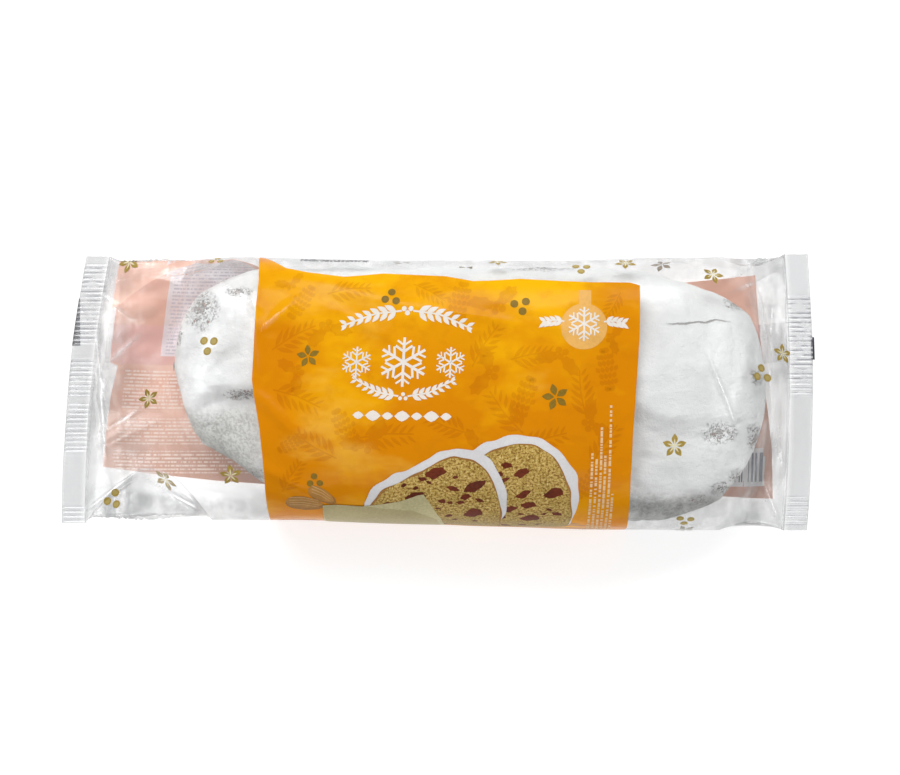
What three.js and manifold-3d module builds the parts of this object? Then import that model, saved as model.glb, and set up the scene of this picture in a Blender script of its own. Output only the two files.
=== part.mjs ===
// A stollen in its clear film bag, lying on its flat base.
// Millimetres: +X along the loaf, +Y across it, +Z up, origin under the middle of the bag.
// The film fits the loaf closely, so bag and loaf are one solid out to the film: a pillow drawn over
// the loaf, a corner tucked in at each end of each side, a crimped seal at each end, and a fin seal
// folded flat against the underside.

import * as THREE from "three";
import { mergeVertices } from "three/addons/utils/BufferGeometryUtils.js";
import Module from "manifold-3d";

// Driving dimensions
const pillow = {
  crown: 58.5, // height of the film over the loaf
  // the sides as seen from above: x, front y, back y
  outline: [
    [-156, -57.4, 60.6],
    [-131, -56.7, 60],
    [-93, -56, 58.8],
    [-60, -56.1, 58.2],
    [-16, -57.4, 57.2],
    [20, -58.8, 57],
    [54, -60, 57.1],
    [80, -60.5, 57.8],
    [116, -60.8, 58.8],
    [155, -60.9, 60.9],
  ],
  // the loaf as seen from above: x, front y, back y; beyond it the film comes down in a tent
  loaf: [
    [-118, 11, 11],
    [-112, -10, 38],
    [-104, -25, 47],
    [-95, -31, 53],
    [-77, -42, 57],
    [-47, -52, 57],
    [28, -58, 57],
    [98, -58.5, 54],
    [124, -49, 45],
    [136, -35, 37],
    [146, -3, -3],
  ],
  tentWidth: 30,
  tentFall: 0.58, // share of its height that the film loses across the tent
  middle: 14, // x of the loaf's middle, nearer the right-hand seal
  sideHeight: 20, // height of the widest line on the loaf's side
  baseOverfill: 1.16, // how far the round underside is pressed flat by the loaf's weight
  lean: 5, // how far the crown lies towards the back
  sections: 52,
  around: 72,
};
const seal = {
  depth: 10, // along the bag
  filmStack: 0.5, // thickness of the layers pressed together
  crimpPitch: 2.1,
  crimpHeight: 0.55,
  rootHalf: 0.6, // half the pillow's least thickness
};
const fin = {
  fold: 13.6, // y of the fold that the fin turns over at
  edge: 31.2, // y of its free edge
  thickness: 0.7,
  clearOfBase: 0.2, // keeps it out of the flat base
  from: 0.05, // share of the sections left free at each end
  steps: 44,
  lanes: 5,
};

// Each end of the bag: where its seal lies and how the film comes down to it from the loaf.
// x = at + slant * y + bow * y * y is the seal's cut edge.
const ends = {
  left: {
    side: -1,
    at: -160.7,
    slant: 0.0744,
    bow: 0,
    centre: 1.5,
    halfLength: 59.1,
    height: 14,
    curl: 1.6,
    crownRound: 4,
    crownFall: 1.35,
    liftFrom: 0.76,
    liftPower: 1.5,
    tuckFrom: 0.66,
    tuckFront: 24,
    tuckBack: 9,
  },
  right: {
    side: 1,
    at: 165.5,
    slant: 0.014,
    bow: -0.0006,
    centre: 0,
    halfLength: 60.9,
    height: 20,
    curl: 1.2,
    crownRound: 6,
    crownFall: 1.07,
    liftFrom: 0.88,
    liftPower: 1.3,
    tuckFrom: 0.8,
    tuckFront: 12,
    tuckBack: 14,
  },
};

const mix = THREE.MathUtils.lerp;
const clamp01 = (value) => THREE.MathUtils.clamp(value, 0, 1);
const signedPower = (value, power) => Math.sign(value) * Math.abs(value) ** power;

const cutEdge = (end, y) => end.at + end.slant * y + end.bow * y * y;
const sealInside = (end, y) => cutEdge(end, y) - end.side * seal.depth;
const sealHeight = (end, y) => end.height + end.curl * Math.sin(y / 27 + end.side);

// The front and back y at x, between the rows of a table.
function sidesAt(rows, x) {
  const next = Math.max(1, rows.findIndex((row, i) => row[0] >= x || i === rows.length - 1));
  const [before, after] = [rows[next - 1], rows[next]];
  const share = clamp01((x - before[0]) / (after[0] - before[0]));
  return { front: mix(before[1], after[1], share), back: mix(before[2], after[2], share) };
}

// How far a section is from the loaf's middle (0) towards the seal of its end (1).
function reach(x) {
  const end = x < pillow.middle ? ends.left : ends.right;
  const share = (x - pillow.middle) / (sealInside(end, 0) - pillow.middle);
  return { end, share: clamp01(share) };
}

// The few numbers that give the bag's section at x.
function sectionAt(x) {
  const { end, share } = reach(x);
  const flatness = share ** 6;
  const crownShape = (1 - share ** end.crownRound) ** end.crownFall;
  const lift = clamp01((share - end.liftFrom) / (1 - end.liftFrom)) ** end.liftPower;
  const lumps = 1.2 * Math.sin(x / 19) + 0.9 * Math.sin(x / 8.3 + 1);
  const tuck = Math.sin(Math.PI * clamp01((share - end.tuckFrom) / (1 - end.tuckFrom)));
  const { front, back } = sidesAt(pillow.outline, x);
  return {
    end,
    flatness,
    halfWidth: mix((back - front) / 2, end.halfLength + 0.15, flatness),
    drift: mix((back + front) / 2, end.centre, flatness),
    side: mix(pillow.sideHeight, end.height, flatness),
    top: mix(end.height, pillow.crown + lumps, crownShape),
    bottom: end.height * lift,
    tuck,
    loaf: sidesAt(pillow.loaf, x),
    loafShare: 1 - clamp01((share - end.liftFrom * 0.8) / 0.3),
  };
}

// The point of the film at a share of the bag's length and an angle round its section, from the back (0)
// over the top.
function filmPoint(lengthShare, angle) {
  const x = mix(sealInside(ends.left, 0), sealInside(ends.right, 0), lengthShare);
  const section = sectionAt(x);
  const across = Math.cos(angle);
  const up = Math.abs(Math.sin(angle)) < 1e-6 ? 0 : Math.sin(angle);

  const yPower = mix(0.6, 1, section.flatness);
  const depth = across > 0 ? section.end.tuckBack : section.end.tuckFront;
  const notch = Math.max(0, 1 - Math.abs(up) / 0.3) * depth * section.tuck;
  let y = section.halfWidth * signedPower(across, yPower) - Math.sign(across) * notch;
  y += section.drift + pillow.lean * Math.max(0, up) ** 2 * (1 - section.flatness);

  const pleat = 1 + 0.05 * section.tuck * Math.cos(angle * 9 + x / 11);
  const topRise = Math.max(section.top - section.side, seal.rootHalf);
  const bottomDrop = Math.max(section.side - section.bottom, seal.rootHalf);
  const topPower = mix(0.8, 0.2, section.flatness ** 3);
  const bottomPower = mix(0.5, 0.2, section.flatness ** 3);
  const overfill = mix(1, pillow.baseOverfill, section.loafShare);
  const clearOfLoaf = Math.max(section.loaf.front - y, y - section.loaf.back);
  const tent = 1 - pillow.tentFall * THREE.MathUtils.smoothstep(clearOfLoaf, 0, pillow.tentWidth);
  let z =
    up >= 0
      ? section.side + topRise * tent * up ** topPower * pleat
      : section.side - bottomDrop * overfill * (-up) ** bottomPower;
  z = Math.max(z, section.bottom - seal.rootHalf * section.flatness);
  z = Math.max(z + (sealHeight(section.end, y) - section.end.height) * section.flatness, 0);

  const left = sealInside(ends.left, y);
  const right = sealInside(ends.right, y);
  return new THREE.Vector3(mix(left, right, lengthShare), y, z);
}

// Sections crowd towards the ends, where the film turns down to the seals.
const crowded = (even) => even - 0.55 * (Math.sin(2 * Math.PI * even) / (2 * Math.PI));

// A ring round the pillow: its points, each with its angle from the back over the top.
function pillowRing(lengthShare) {
  return Array.from({ length: pillow.around }, (_, i) => {
    const angle = (2 * Math.PI * (i + 0.5)) / pillow.around;
    return { angle, point: filmPoint(lengthShare, angle) };
  });
}

// A ring round a seal's plate, whose two faces follow one crimped wave with ridges along the bag.
// outward is 0 at the plate's inner edge and 1 at its cut edge.
function sealRing(end, outward) {
  const half = Math.round((2 * end.halfLength) / seal.crimpPitch);
  const lanes = Array.from({ length: half * 2 + 1 }, (_, i) => {
    const across = 1 - i / half;
    const y = across * end.halfLength + end.centre;
    const x = mix(sealInside(end, y), cutEdge(end, y), outward);
    const ridge = (i % 2 ? 0.5 : -0.5) * seal.crimpHeight;
    return { across, x, y, z: sealHeight(end, y) + ridge };
  });
  const face = (side) =>
    lanes.map(({ across, x, y, z }) => ({
      angle: side > 0 ? Math.acos(across) : 2 * Math.PI - Math.acos(across),
      point: new THREE.Vector3(x, y, z + (side * seal.filmStack) / 2),
    }));
  return [...face(1), ...face(-1).reverse()];
}

// A closed skin through rings that may differ in their number of points.
function skinGeometry(rings) {
  const starts = [];
  const points = [];
  for (const ring of rings) {
    starts.push(points.length);
    points.push(...ring.map(({ point }) => point));
  }
  const index = [];
  for (let r = 0; r + 1 < rings.length; r += 1) {
    const [near, far] = [rings[r], rings[r + 1]];
    const [a, b] = [starts[r], starts[r + 1]];
    const angleOf = (ring, i) => (i < ring.length ? ring[i].angle : ring[0].angle + 2 * Math.PI);
    let i = 0;
    let j = 0;
    while (i < near.length || j < far.length) {
      const onNear = j >= far.length || (i < near.length && angleOf(near, i + 1) <= angleOf(far, j + 1));
      const p = a + (i % near.length);
      const q = b + (j % far.length);
      if (onNear) {
        index.push(q, p, a + ((i + 1) % near.length));
        i += 1;
      } else {
        index.push(q, p, b + ((j + 1) % far.length));
        j += 1;
      }
    }
  }
  for (const [ring, start, atStart] of [
    [rings[0], 0, true],
    [rings.at(-1), starts.at(-1), false],
  ]) {
    for (let i = 0; i + 1 < ring.length / 2; i += 1) {
      const [top, nextTop] = [start + i, start + i + 1];
      const [low, nextLow] = [start + ring.length - 1 - i, start + ring.length - 2 - i];
      const faces = [top, low, nextTop, nextTop, low, nextLow];
      index.push(...(atStart ? faces : faces.reverse()));
    }
  }
  const geometry = new THREE.BufferGeometry().setFromPoints(points);
  geometry.setIndex(index);
  return geometry;
}

// The bag from one cut edge to the other.
function bagSkin() {
  const rings = [sealRing(ends.left, 1), sealRing(ends.left, 0)];
  for (let i = 1; i < pillow.sections; i += 1) rings.push(pillowRing(crowded(i / pillow.sections)));
  rings.push(sealRing(ends.right, 0), sealRing(ends.right, 1));
  return skinGeometry(rings);
}

// The angle of the section's lower (-1) or upper (1) half at which the film is at y.
function angleAt(lengthShare, y, half) {
  let back = 0;
  let front = Math.PI;
  for (let i = 0; i < 24; i += 1) {
    const middle = (back + front) / 2;
    if (filmPoint(lengthShare, half * middle).y > y) back = middle;
    else front = middle;
  }
  return (half * (back + front)) / 2;
}

// The fin lies against the underside; its upper face is hidden inside the bag.
function finGeometry() {
  const strip = new THREE.BoxGeometry(1, 1, 1, fin.steps, fin.lanes, 1);
  const position = strip.getAttribute("position");
  for (let i = 0; i < position.count; i += 1) {
    const lengthShare = crowded(mix(fin.from, 1 - fin.from, position.getX(i) + 0.5));
    const y = mix(fin.fold, fin.edge, position.getY(i) + 0.5);
    const under = filmPoint(lengthShare, angleAt(lengthShare, y, -1));
    const over = filmPoint(lengthShare, angleAt(lengthShare, y, 1));
    const outer = Math.max(fin.clearOfBase, under.z - fin.thickness);
    position.setXYZ(i, under.x, y, position.getZ(i) < 0 ? outer : mix(under.z, over.z, 0.45));
  }
  strip.deleteAttribute("normal");
  strip.deleteAttribute("uv");
  return mergeVertices(strip, 1e-4);
}

// Joins closed geometries into one, and gives the union back as a geometry.
const wasm = await Module();
wasm.setup();

function toSolid(geometry) {
  return new wasm.Manifold(
    new wasm.Mesh({
      numProp: 3,
      vertProperties: geometry.getAttribute("position").array,
      triVerts: new Uint32Array(geometry.index.array),
    }),
  );
}

function joined(geometries) {
  const whole = geometries.map(toSolid).reduce((sum, next) => sum.add(next));
  const mesh = whole.getMesh();
  const geometry = new THREE.BufferGeometry();
  geometry.setAttribute("position", new THREE.BufferAttribute(mesh.vertProperties, mesh.numProp));
  geometry.setIndex(new THREE.BufferAttribute(mesh.triVerts, 1));
  return geometry;
}

const bagGeometry = joined([bagSkin(), finGeometry()]);
bagGeometry.computeBoundingBox();
bagGeometry.computeVertexNormals();

const printedFilm = new THREE.MeshStandardMaterial({ color: 0xe99a0e, roughness: 0.35, metalness: 0 });
const sealedBag = new THREE.Mesh(bagGeometry, printedFilm);
sealedBag.name = "sealed_bag";

// The bag's own box is set over the origin, its lowest face on z = 0.
const box = bagGeometry.boundingBox;
sealedBag.position.set(-(box.min.x + box.max.x) / 2, -(box.min.y + box.max.y) / 2, -box.min.z);

const stollen = new THREE.Group();
stollen.name = "stollen_in_film_bag";
stollen.add(sealedBag);

export default stollen;
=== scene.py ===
# A sugar-dusted stollen in its clear film bag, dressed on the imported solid.
# Blender works in metres; the sizes in the settings below are millimetres.
# +X runs along the loaf, +Y to the back of the bag, +Z up out of the printed front.

import math
import random

import bpy
import numpy as np
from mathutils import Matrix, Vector, noise


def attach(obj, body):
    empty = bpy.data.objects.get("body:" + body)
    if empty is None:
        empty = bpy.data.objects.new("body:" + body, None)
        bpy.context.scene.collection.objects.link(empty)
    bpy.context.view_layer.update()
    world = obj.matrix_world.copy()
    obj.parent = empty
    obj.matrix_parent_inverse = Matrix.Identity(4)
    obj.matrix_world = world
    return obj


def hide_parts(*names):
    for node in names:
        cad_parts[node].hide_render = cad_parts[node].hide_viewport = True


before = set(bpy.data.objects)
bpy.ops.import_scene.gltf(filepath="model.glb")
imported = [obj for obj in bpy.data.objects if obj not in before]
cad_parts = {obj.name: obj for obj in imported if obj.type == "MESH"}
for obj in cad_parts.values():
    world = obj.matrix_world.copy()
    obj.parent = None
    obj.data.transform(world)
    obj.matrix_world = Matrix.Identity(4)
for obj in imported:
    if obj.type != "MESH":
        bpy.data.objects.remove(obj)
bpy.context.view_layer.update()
mm = 0.001
random.seed(11)


# small helpers


def mix(low, high, share):
    return low + (high - low) * share


def clamp(value):
    return min(max(value, 0.0), 1.0)


def smooth(share):
    share = np.clip(share, 0.0, 1.0)
    return share * share * (3 - 2 * share)


def signedPower(value, power):
    return np.sign(value) * np.abs(value) ** power


def active(name):
    piece = bpy.context.active_object
    piece.name = name
    piece.data.name = name
    return piece


def clearSelection():
    if bpy.context.object and bpy.context.object.mode != "OBJECT":
        bpy.ops.object.mode_set(mode="OBJECT")
    bpy.ops.object.select_all(action="DESELECT")


def selectOnly(pieces):
    clearSelection()
    for piece in pieces:
        piece.select_set(True)
    bpy.context.view_layer.objects.active = pieces[0]


def softened(values, span, **edges):
    # a moving average over span values to each side
    kernel = np.hanning(2 * span + 1)
    return np.convolve(np.pad(values, span, **edges), kernel / kernel.sum(), mode="valid")


def fromRows(rows, x):
    table = np.array(rows, dtype=float)
    return np.interp(x, table[:, 0], table[:, 1])


def pointsOf(piece):
    flat = np.empty(len(piece.data.vertices) * 3)
    piece.data.vertices.foreach_get("co", flat)
    return flat.reshape(-1, 3)


def movePoints(piece, points):
    piece.data.vertices.foreach_set("co", np.asarray(points, dtype=float).ravel())
    piece.data.update()


def finishMesh(piece, merge=0.0, outward=False):
    selectOnly([piece])
    bpy.ops.object.mode_set(mode="EDIT")
    bpy.ops.mesh.select_all(action="SELECT")
    if merge:
        bpy.ops.mesh.remove_doubles(threshold=merge)
    if outward:
        bpy.ops.mesh.normals_make_consistent(inside=False)
    bpy.ops.object.mode_set(mode="OBJECT")
    bpy.ops.object.shade_smooth()
    return piece


def thickened(piece, thickness):
    # finishMesh has left the piece active
    layers = piece.modifiers.new("film layers", "SOLIDIFY")
    layers.thickness = thickness * mm
    layers.offset = 0
    bpy.ops.object.modifier_apply(modifier=layers.name)
    return piece


def writeUv(piece, name, values):
    # values holds two numbers for each point; any other UV map goes
    layer = piece.data.uv_layers.get(name) or piece.data.uv_layers.new(name=name)
    corners = np.empty(len(piece.data.loops), dtype=int)
    piece.data.loops.foreach_get("vertex_index", corners)
    layer.data.foreach_set("uv", values[corners].ravel())
    for other in [one for one in piece.data.uv_layers if one.name != name]:
        piece.data.uv_layers.remove(other)


def flatSheet(name, across, along, stepsAcross, stepsAlong):
    # a sheet from across[0] to across[1] in X and along[0] to along[1] in Y, in millimetres
    clearSelection()
    bpy.ops.mesh.primitive_grid_add(
        x_subdivisions=stepsAcross, y_subdivisions=stepsAlong, size=1, location=(0, 0, 0)
    )
    sheet = active(name)
    points = pointsOf(sheet)
    points[:, 0] = mix(across[0], across[1], points[:, 0] + 0.5)
    points[:, 1] = mix(along[0], along[1], points[:, 1] + 0.5)
    movePoints(sheet, points)
    return sheet


# finishes


def sign(operation, turned=False):
    # the Math node behind one of Python's own signs
    def run(self, other):
        first, second = (other, self) if turned else (self, other)
        return self.maths(operation, first, second)

    return run


class Wire:
    # one shader socket, on which Python's own signs add Math nodes
    __add__, __radd__ = sign("ADD"), sign("ADD", True)
    __sub__, __rsub__ = sign("SUBTRACT"), sign("SUBTRACT", True)
    __mul__, __rmul__ = sign("MULTIPLY"), sign("MULTIPLY", True)
    __truediv__, __pow__ = sign("DIVIDE"), sign("POWER")

    def __init__(self, finish, socket):
        self.finish = finish
        self.socket = socket

    def maths(self, operation, *values):
        return self.finish.add("ShaderNodeMath", {"operation": operation}, dict(enumerate(values)))

    def clamped(self):
        return self.finish.add("ShaderNodeClamp", {}, {0: self})

    def over(self, low, high):
        # 0 below low, 1 above high, smooth between
        return self.finish.add(
            "ShaderNodeMapRange",
            {"interpolation_type": "SMOOTHSTEP"},
            {"Value": self, "From Min": low, "From Max": high},
        )


class Finish:
    # a material with one Principled shader
    def __init__(self, name, **constants):
        self.material = bpy.data.materials.new(name)
        self.material.use_nodes = True
        self.tree = self.material.node_tree
        self.tree.nodes.clear()
        self.shader = self.tree.nodes.new("ShaderNodeBsdfPrincipled")
        output = self.tree.nodes.new("ShaderNodeOutputMaterial")
        self.tree.links.new(self.shader.outputs[0], output.inputs[0])
        for socket, value in constants.items():
            self.give(socket.replace("_", " "), value)

    def give(self, socket, value):
        self.put(self.shader.inputs[socket], value)

    def put(self, socket, value):
        if isinstance(value, Wire):
            self.tree.links.new(value.socket, socket)
        elif isinstance(value, tuple) and len(value) == 3 and socket.type == "RGBA":
            socket.default_value = (*value, 1)
        else:
            socket.default_value = value

    def add(self, kind, settings, inputs, output=0):
        node = self.tree.nodes.new(kind)
        for setting, value in settings.items():
            setattr(node, setting, value)
        for key, value in inputs.items():
            self.put(node.inputs[key], value)
        return Wire(self, node.outputs[output])

    def place(self):
        return self.add("ShaderNodeTexCoord", {}, {}, "Object")

    def flat(self, name="flat"):
        return self.add("ShaderNodeUVMap", {"uv_map": name}, {}, "UV")

    def axes(self, vector):
        node = self.tree.nodes.new("ShaderNodeSeparateXYZ")
        self.put(node.inputs[0], vector)
        return [Wire(self, out) for out in node.outputs]

    def drawn(self):
        # u and v of the flat drawing, in film millimetres
        return [wire * 100 for wire in self.axes(self.flat())[:2]]

    def stretched(self, vector, scale):
        return self.add("ShaderNodeMapping", {}, {"Vector": vector, "Scale": scale})

    def grain(self, vector, scale, detail=3.0, roughness=0.55, stretch=None):
        if stretch:
            vector = self.stretched(vector, stretch)
        inputs = {"Vector": vector, "Scale": scale, "Detail": detail, "Roughness": roughness}
        return self.add("ShaderNodeTexNoise", {}, inputs, "Fac")

    def cells(self, vector, scale, feature="F1"):
        inputs = {"Vector": vector, "Scale": scale}
        return self.add("ShaderNodeTexVoronoi", {"feature": feature}, inputs, "Distance")

    def blend(self, share, colour, other):
        node = self.tree.nodes.new("ShaderNodeMix")
        node.data_type = "RGBA"
        self.put(node.inputs["Factor"], share)
        self.put(node.inputs[6], colour)
        self.put(node.inputs[7], other)
        return Wire(self, node.outputs[2])

    def relief(self, height, depth, strength):
        inputs = {"Height": height, "Distance": depth, "Strength": strength}
        self.give("Normal", self.add("ShaderNodeBump", {}, inputs, "Normal"))


def shaded(colour, shares):
    return tuple(part * share for part, share in zip(colour, shares))


def largest(wires):
    most = wires[0]
    for wire in wires[1:]:
        most = most.maths("MAXIMUM", most, wire)
    return most


def between(value, low, high, soft=0.4):
    return value.over(low - soft, low + soft) * (1 - value.over(high - soft, high + soft))


def dressed(piece, finish, node="sealed_bag", shadow=True):
    piece.visible_shadow = shadow  # thin clear film and its pale print let the light through
    piece.data.materials.clear()
    piece.data.materials.append(finish.material)
    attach(piece, "root")
    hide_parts(node)
    return piece


# the film's shape

bag = {
    "shift": -0.298,  # from the solid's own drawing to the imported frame
    "crown": 58.5,
    "middle": 14.0,
    "sideHeight": 20.0,
    "baseOverfill": 1.16,
    "lean": 5.0,
    "lumps": ((1.2, 19, 0), (0.9, 8.3, 1)),  # height, length and start of each wave along the crown
    "tuckHeight": 0.3,
    "pleatDepth": 0.05,
    "ringPoints": 1441,
    "sealDepth": 10.0,
    "rootHalf": 0.6,
    "underside": 0.45,  # the bag rests on its folded seam
    "rings": 300,
    "around": 300,
    "crowding": 0.35,  # how much closer the rings lie at both ends
    "underFrom": -0.31,  # the sine of a ring's angle where its underside begins
    "wallFrom": 48,  # past this y, print on the underside goes on up the back wall
    "loafPlan": [  # x, front y, back y; beyond it the film comes down in a tent
        (-118, 11, 11), (-112, -10, 38), (-104, -25, 47), (-95, -31, 53), (-77, -42, 57), (-47, -52, 57),
        (28, -58, 57), (98, -58.5, 54), (124, -49, 45), (136, -35, 37), (146, -3, -3),
    ],
    "tentWidth": 30,
    "tentFall": 0.58,
    "outline": [  # x, front y, back y of the film's sides
        (-156, -57.4, 60.6), (-131, -56.7, 60), (-93, -56, 58.8), (-60, -56.1, 58.2), (-16, -57.4, 57.2),
        (20, -58.8, 57), (54, -60, 57.1), (80, -60.5, 57.8), (116, -60.8, 58.8), (155, -60.9, 60.9),
    ],
}
ends = {  # left, right
    "side": (-1, 1),
    "at": (-163.4, 165.5),  # the cut edges bow and slant a little
    "slant": (0.078, 0.014),
    "bow": (0.0009, -0.0006),
    "ridges": (  # low y, high y and strength of each pressed part
        [(21.8, 57, 0.85), (-1.5, 15, 0.65), (-25.7, -4, 0.55), (-59, -50, 0.3)],
        [(3.7, 42.5, 1.0), (-2.5, 3.7, 0.45), (-59, -46, 0.45)],
    ),
    "pitch": (2.07, 2.07),
    "centre": (1.5, 0.0),
    "halfLength": (59.1, 60.9),
    "height": (14.0, 20.0),
    "curl": (1.6, 1.2),
    "crownRound": (4, 6),
    "crownFall": (1.35, 1.07),
    "liftFrom": (0.76, 0.88),
    "liftPower": (1.5, 1.3),
    "tuckFrom": (0.66, 0.8),
    "tuckFront": (24.0, 4.0),
    "tuckBack": (9.0, 5.0),
    "slackFrom": (0.72, 0.88),  # the share of the way out where the film is no longer tight on the loaf
}
leftEnd, rightEnd = [{name: pair[side] for name, pair in ends.items()} for side in (0, 1)]


def cutEdge(end, y):
    return end["at"] + end["slant"] * y + end["bow"] * y * y


def sealInside(end, y):
    return cutEdge(end, y) - end["side"] * bag["sealDepth"]


def sealHeight(end, y):
    return end["height"] + end["curl"] * np.sin(y / 27 + end["side"])


def reach(x):
    end = leftEnd if x < bag["middle"] else rightEnd
    share = (x - bag["middle"]) / (sealInside(end, 0) - bag["middle"])
    return end, clamp(share)


def filmRing(share):
    # points of one ring from the crown over the back, under, and up the front
    x = mix(sealInside(leftEnd, 0), sealInside(rightEnd, 0), share)
    end, far = reach(x)
    flatness = far**6
    crownShape = (1 - far ** end["crownRound"]) ** end["crownFall"]
    lift = clamp((far - end["liftFrom"]) / (1 - end["liftFrom"])) ** end["liftPower"]
    lumps = sum(height * math.sin(x / length + start) for height, length, start in bag["lumps"])
    tuck = math.sin(math.pi * clamp((far - end["tuckFrom"]) / (1 - end["tuckFrom"])))
    rows = np.array(bag["outline"], dtype=float)
    front = np.interp(x, rows[:, 0], rows[:, 1])
    back = np.interp(x, rows[:, 0], rows[:, 2])
    halfWidth = mix((back - front) / 2, end["halfLength"] + 0.15, flatness)
    drift = mix((back + front) / 2, end["centre"], flatness)
    side = mix(bag["sideHeight"], end["height"], flatness)
    top = mix(end["height"], bag["crown"] + lumps, crownShape)
    bottom = end["height"] * lift
    loafShare = 1 - clamp((far - end["liftFrom"] * 0.8) / 0.3)

    angle = np.linspace(math.pi / 2, math.pi / 2 - 2 * math.pi, bag["ringPoints"])
    across, up = np.cos(angle), np.sin(angle)
    up[np.abs(up) < 1e-6] = 0
    depth = np.where(across > 0, end["tuckBack"], end["tuckFront"])
    notch = np.maximum(0, 1 - np.abs(up) / bag["tuckHeight"]) * depth * tuck
    y = halfWidth * signedPower(across, mix(0.6, 1, flatness)) - np.sign(across) * notch + drift
    y += bag["lean"] * np.maximum(0, up) ** 2 * (1 - flatness)
    pleat = 1 + bag["pleatDepth"] * tuck * np.cos(angle * 9 + x / 11)
    topRise = max(top - side, bag["rootHalf"])
    bottomDrop = max(side - bottom, bag["rootHalf"])
    topPower = mix(0.8, 0.2, flatness**3)
    bottomPower = mix(0.5, 0.2, flatness**3)
    overfill = mix(1, bag["baseOverfill"], loafShare)
    plan = np.array(bag["loafPlan"], dtype=float)
    loafFront, loafBack = np.interp(x, plan[:, 0], plan[:, 1]), np.interp(x, plan[:, 0], plan[:, 2])
    clearOfLoaf = np.maximum(loafFront - y, y - loafBack)
    tent = 1 - bag["tentFall"] * smooth(clearOfLoaf / bag["tentWidth"])
    z = np.where(
        up >= 0,
        side + topRise * tent * np.abs(up) ** topPower * pleat,
        side - bottomDrop * overfill * np.abs(up) ** bottomPower,
    )
    z = np.maximum(z, max(bottom - bag["rootHalf"] * flatness, 0))
    z = np.maximum(z + (sealHeight(end, y) - end["height"]) * flatness, 0)
    x = mix(sealInside(leftEnd, y), sealInside(rightEnd, y), share)
    return np.stack([x + bag["shift"], y, z, angle], axis=1)


def evenlySpaced(ring, count):
    steps = np.linalg.norm(np.diff(ring[:, :3], axis=0), axis=1)
    run = np.concatenate([[0], np.cumsum(steps)])
    wanted = np.linspace(0, run[-1], count + 1)
    even = np.stack([np.interp(wanted, run, ring[:, axis]) for axis in range(4)], axis=1)
    return even[:-1], run[-1]


def gridNormals(grid):
    # grid is rings x around, closed around; crown first, then over the back
    along = np.gradient(grid, axis=0)
    around = np.roll(grid, -1, axis=1) - np.roll(grid, 1, axis=1)
    normals = np.cross(around, along)
    size = np.linalg.norm(normals, axis=2, keepdims=True)
    normals = normals / np.maximum(size, 1e-9)
    upward = normals[grid.shape[0] // 2, 0, 2]
    return normals if upward > 0 else -normals


folds = {
    "endDepth": 1.5,  # soft folds where the film spans from the loaf to a seal
    "loafDepth": 0.4,
    "endsFrom": 128,  # beyond this x the creases may run down to the base
    "highlightedBelow": 1.5,  # a crease narrower than this gets a milky line of painted highlight
    "highlightWidth": 0.8,
    "creases": [
        # start x y, end x y, height, half width
        (-157, -54, -131, -36, 0.8, 1.2), (-131, -36, -100, -54, 0.6, 1.2),
        (115, 13, 129.5, -20, 0.8, 0.8), (104, 25, 115, 13, 0.25, 1.6), (-100, 50, -70, 30, 0.3, 1.1),
        (126, 40, 148, 52, 0.5, 1.2), (-150, 44, -132, 30, 0.5, 1.2), (-150, 8, -128, 26, 0.5, 1.4),
        (-152, -20, -130, -8, 0.4, 1.3), (-77, 54, -20, 35, 1.0, 4.0), (-24, 36, 28, 26, 0.7, 3.0),
        (12, 30, 40, 24, 0.5, 2.0), (-78, -2, -58, -22, 1.5, 3.2), (-76, 22, -60, 36, 1.2, 2.6),
        (-79, 44, -73, 2, 1.1, 2.2), (-48, 34, -12, 16, 0.7, 2.4), (-76, -34, -52, -46, 1.0, 2.6),
        (40, 26, 84, 18, 0.6, 2.4), (-146, -24, -112, -10, 0.6, 1.6), (-131, 37, -133, 18, 0.25, 1.6),
        (-151, 12, -146, 0, 0.25, 1.0), (-154, 1, -155, -21, 0.4, 0.9), (144, 59, 126, 47, 0.8, 1.0),
        (142, -40, 150, -58, 0.6, 0.9), (147, 37, 145, 7, 0.4, 0.9), (151, 0, 151, -37, 0.4, 0.9),
        (6, 50, 20, 44, 0.5, 2.0), (-112, -58, -88, -40, 0.7, 1.6), (141, 50, 147, -40, 0.5, 1.0),
        (-151, 30, -146, -30, 0.5, 1.0),
    ],
}


def foldHeights(grid):
    heights = np.zeros(grid.shape[:2])
    for i in range(grid.shape[0]):
        x = grid[i, 0, 0]
        end, far = reach(x)
        free = float(smooth((far - end["slackFrom"]) / 0.14))
        atSeal = 1 - far**14
        for j in range(grid.shape[1]):
            px, py, pz = grid[i, j]
            slow = noise.noise((px / 46, py / 17, pz / 21))
            quick = noise.noise((px / 19 + 7, py / 9, pz / 11))
            ridge = 1 - 2.4 * abs(slow)
            soft = noise.noise((px / 34 + 3, py / 26 + 5, pz / 30))
            heights[i, j] = free * atSeal * folds["endDepth"] * (0.8 * ridge + 0.5 * quick)
            heights[i, j] += (1 - free) * folds["loafDepth"] * (soft + 0.35 * quick)
    marks = np.zeros(grid.shape[:2])
    upper = (grid[:, :, 2] > bag["sideHeight"]) | (np.abs(grid[:, :, 0]) > folds["endsFrom"])
    for x0, y0, x1, y1, height, halfWidth in folds["creases"]:
        run = np.array([x1 - x0, y1 - y0], dtype=float)
        offset = grid[:, :, :2] - (x0, y0)
        along = np.clip((offset @ run) / (run @ run), 0, 1)
        away = np.linalg.norm(offset - along[..., None] * run, axis=2)
        fade = np.sin(math.pi * np.clip(along, 0.02, 0.98)) ** 0.5
        heights += np.where(upper, height * fade * np.exp(-((away / halfWidth) ** 2)), 0)
        # narrow creases also get a line of painted highlight
        if halfWidth < folds["highlightedBelow"]:
            line = fade * np.exp(-((away / folds["highlightWidth"]) ** 2))
            marks = np.maximum(marks, np.where(upper, line, 0))
    return heights, marks


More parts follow.
